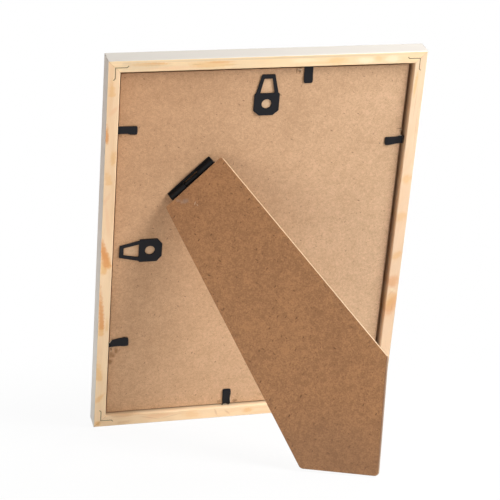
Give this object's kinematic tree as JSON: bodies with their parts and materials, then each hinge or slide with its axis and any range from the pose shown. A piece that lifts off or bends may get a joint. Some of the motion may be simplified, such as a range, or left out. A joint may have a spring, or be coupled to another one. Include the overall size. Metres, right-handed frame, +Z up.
{
  "type": "easel back photo frame",
  "caption": "Slim mitred wooden photo frame leaning on a diagonally hinged fibreboard easel strut, with flex tabs over its back board and stamped hangers for portrait or landscape.",
  "frame": {"origin": "centre of the bounding box on the surface that the frame stands on, with the strut open", "axes": "+Z up, -Y the way the picture faces, +Y towards the strut, +X to the left as seen from behind"},
  "size_m": [0.2, 0.174, 0.2492],
  "materials": {
    "painted_pine": "white satin paint on the front and outside, bare pine on the back",
    "nail_steel": "plain steel strip, dull",
    "tab_steel": "black lacquered spring steel, satin",
    "glass": "clear float glass, polished",
    "sheet_paper": "plain uncoated paper",
    "back_fibreboard": "smooth hard-pressed fibreboard with fine dark fibres",
    "hanger_steel": "black lacquered stamped steel, satin",
    "hinge_steel": "black lacquered rolled steel, satin",
    "strut_fibreboard": "smooth fibreboard with pale sawn edges"
  },
  "bodies": {
    "frame": {"top_rail": "painted_pine", "bottom_rail": "painted_pine", "left_rail": "painted_pine", "right_rail": "painted_pine", "corner_nails": "nail_steel", "tab_roots": "tab_steel", "glass_pane": "glass", "picture_sheet": "sheet_paper", "back_board": "back_fibreboard", "portrait_hanger": "hanger_steel", "landscape_hanger": "hanger_steel", "hinge_board_leaf": "hinge_steel", "board_leaf_tacks": "hinge_steel"},
    "strut": {"strut": "strut_fibreboard", "hinge_strut_leaf": "hinge_steel", "hinge_pin": "hinge_steel", "strut_leaf_tacks": "hinge_steel"},
    "bottom_tab": {"bottom_tab": "tab_steel"},
    "right_lower_tab": {"right_lower_tab": "tab_steel"},
    "right_upper_tab": {"right_upper_tab": "tab_steel"},
    "top_tab": {"top_tab": "tab_steel"},
    "left_upper_tab": {"left_upper_tab": "tab_steel"},
    "left_lower_tab": {"left_lower_tab": "tab_steel"}
  },
  "joints": [
    {"name": "strut_hinge", "type": "hinge", "parent": "frame", "child": "strut", "pos_m": [0.04415, -0.01713, 0.16855], "axis": [0.7071, -0.236, -0.6666], "range_deg": [-45.66, 0]},
    {"name": "bottom_tab_bend", "type": "hinge", "parent": "frame", "child": "bottom_tab", "pos_m": [0.0108, -0.07558, 0.00896], "axis": [-1, 0, 0], "range_deg": [0, 85]},
    {"name": "right_lower_tab_bend", "type": "hinge", "parent": "frame", "child": "right_lower_tab", "pos_m": [-0.09175, -0.06367, 0.04261], "axis": [0, 0.3337, 0.9427], "range_deg": [0, 85]},
    {"name": "right_upper_tab_bend", "type": "hinge", "parent": "frame", "child": "right_upper_tab", "pos_m": [-0.09156, -0.01215, 0.18815], "axis": [0.0698, 0.3329, 0.9404], "range_deg": [0, 85]},
    {"name": "top_tab_bend", "type": "hinge", "parent": "frame", "child": "top_tab", "pos_m": [-0.0254, 0.00567, 0.2385], "axis": [1, 0, 0], "range_deg": [0, 85]},
    {"name": "left_upper_tab_bend", "type": "hinge", "parent": "frame", "child": "left_upper_tab", "pos_m": [0.09175, -0.00728, 0.20192], "axis": [0, -0.3337, -0.9427], "range_deg": [0, 85]},
    {"name": "left_lower_tab_bend", "type": "hinge", "parent": "frame", "child": "left_lower_tab", "pos_m": [0.09159, -0.05758, 0.0598], "axis": [-0.061, -0.3331, -0.9409], "range_deg": [0, 85]}
  ]
}
